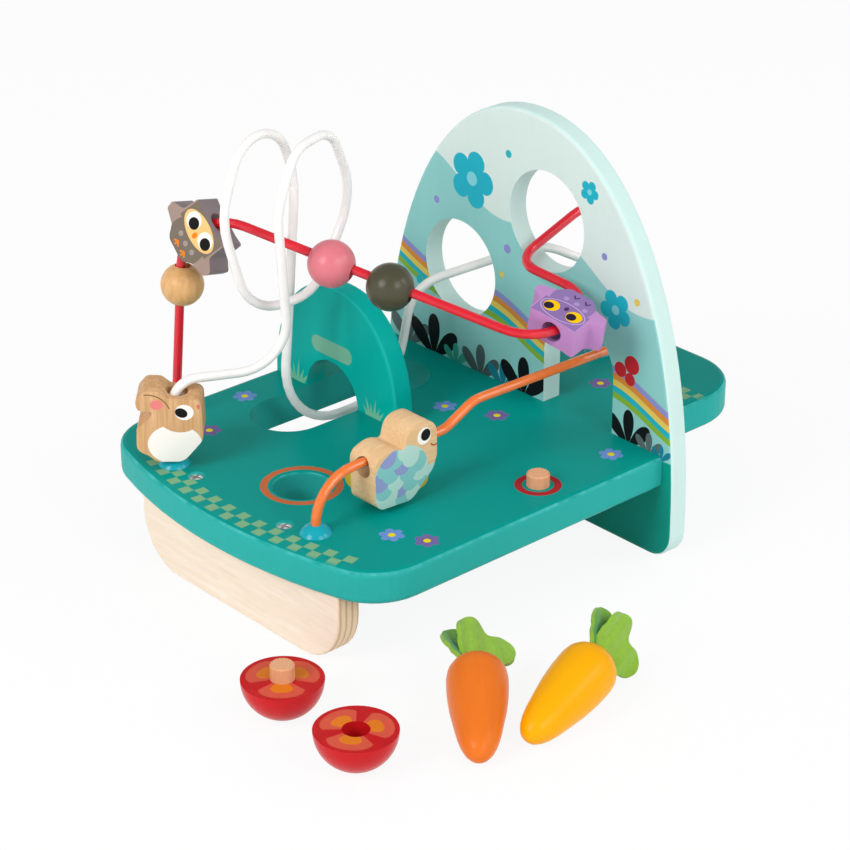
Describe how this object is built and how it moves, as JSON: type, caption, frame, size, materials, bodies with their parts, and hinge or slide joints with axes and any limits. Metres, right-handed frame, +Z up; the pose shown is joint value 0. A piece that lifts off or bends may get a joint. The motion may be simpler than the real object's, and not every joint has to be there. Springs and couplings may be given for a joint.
{
  "type": "bead maze",
  "caption": "Wooden bead maze: bent coated wires loop over a slotted board and through an arched panel, carrying sliding beads and animals, with loose play vegetables that plant in the board.",
  "frame": {"origin": "middle of the arched panel's sole on the floor, half way through the panel's thickness", "axes": "+X along the arched panel to its right seen from the front, +Y to the rear, through the panel, +Z up"},
  "size_m": [0.3132, 0.376, 0.2262],
  "materials": {
    "teal_wood": "satin paint over plywood",
    "panel_wood": "printed plywood sheet with painted edges",
    "plain_ply": "clear-coated birch plywood",
    "screw_steel": "zinc-plated steel",
    "dowel_wood": "bare turned beech",
    "white_coat": "gloss powder coat on steel wire",
    "red_coat": "gloss powder coat on steel wire",
    "orange_coat": "gloss powder coat on steel wire",
    "collar_plastic": "gloss moulded plastic",
    "natural_wood": "clear-coated wood",
    "pink_paint": "satin paint over wood",
    "olive_paint": "satin paint over wood",
    "grey_paint": "satin paint over wood",
    "lilac_paint": "satin paint over wood",
    "pine_wood": "clear-coated pine with printed faces",
    "tomato_red": "gloss paint over wood",
    "carrot_orange": "satin paint over wood",
    "carrot_yellow": "satin paint over wood",
    "green_felt": "wool felt"
  },
  "bodies": {
    "stand": {"base_board": "teal_wood", "arch_panel": "panel_wood", "front_foot": "plain_ply", "foot_screws": "screw_steel", "bridge_arch": "teal_wood", "base_peg": "dowel_wood", "white_wire": "white_coat", "red_wire": "red_coat", "orange_wire": "orange_coat", "white_collar": "collar_plastic", "red_collar": "collar_plastic", "orange_collar": "collar_plastic", "white_rear_collar": "collar_plastic", "red_rear_collar": "collar_plastic", "orange_rear_collar": "collar_plastic"},
    "natural_bead_body": {"natural_bead": "natural_wood"},
    "pink_bead_body": {"pink_bead": "pink_paint"},
    "olive_bead_body": {"olive_bead": "olive_paint"},
    "grey_owl_body": {"grey_owl": "grey_paint"},
    "purple_owl_body": {"purple_owl": "lilac_paint"},
    "turtle_body": {"turtle": "pine_wood"},
    "rabbit_body": {"rabbit": "pine_wood"},
    "tomato_peg_body": {"tomato_peg_half": "tomato_red", "tomato_dowel": "dowel_wood"},
    "tomato_hole_body": {"tomato_hole_half": "tomato_red"},
    "carrot_orange_body": {"carrot_orange": "carrot_orange", "carrot_orange_leaves": "green_felt"},
    "carrot_yellow_body": {"carrot_yellow": "carrot_yellow", "carrot_yellow_leaves": "green_felt"}
  },
  "joints": [
    {"name": "natural_bead_slide", "type": "slide", "parent": "stand", "child": "natural_bead_body", "axis": [0.028, 0.0653, 0.9975], "range_m": [-0.055, 0]},
    {"name": "pink_bead_slide", "type": "slide", "parent": "stand", "child": "pink_bead_body", "axis": [0.8523, 0.4584, -0.2519], "range_m": [-0.022, 0.0035]},
    {"name": "olive_bead_slide", "type": "slide", "parent": "stand", "child": "olive_bead_body", "axis": [0.8523, 0.4584, -0.2519], "range_m": [-0.0035, 0.036]},
    {"name": "grey_owl_ride", "type": "hinge", "parent": "stand", "child": "grey_owl_body", "pos_m": [-0.07661, -0.14337, 0.14404], "axis": [-0.4832, 0.8744, -0.0437], "range_deg": [-2, 20]},
    {"name": "purple_owl_ride", "type": "hinge", "parent": "stand", "child": "purple_owl_body", "pos_m": [0.03921, -0.04461, 0.13517], "axis": [0.0319, -0.1643, 0.9859], "range_deg": [-14, 14]},
    {"name": "rabbit_spin", "type": "hinge", "parent": "stand", "child": "rabbit_body", "pos_m": [-0.05913, -0.19513, 0.0838], "axis": [0, 0, 1], "range_deg": [-80, 120]},
    {"name": "turtle_slide", "type": "slide", "parent": "stand", "child": "turtle_body", "axis": [0, 1, 0], "range_m": [-0.012, 0.012]},
    {"name": "tomato_peg_lift", "type": "slide", "parent": "stand", "child": "tomato_peg_body", "axis": [0, 0, 1], "range_m": [0, 0.1]},
    {"name": "tomato_hole_lift", "type": "slide", "parent": "stand", "child": "tomato_hole_body", "axis": [0, 0, 1], "range_m": [0, 0.1]},
    {"name": "carrot_orange_lift", "type": "slide", "parent": "stand", "child": "carrot_orange_body", "axis": [0, 0, 1], "range_m": [0, 0.1]},
    {"name": "carrot_yellow_lift", "type": "slide", "parent": "stand", "child": "carrot_yellow_body", "axis": [0, 0, 1], "range_m": [0, 0.1]}
  ]
}
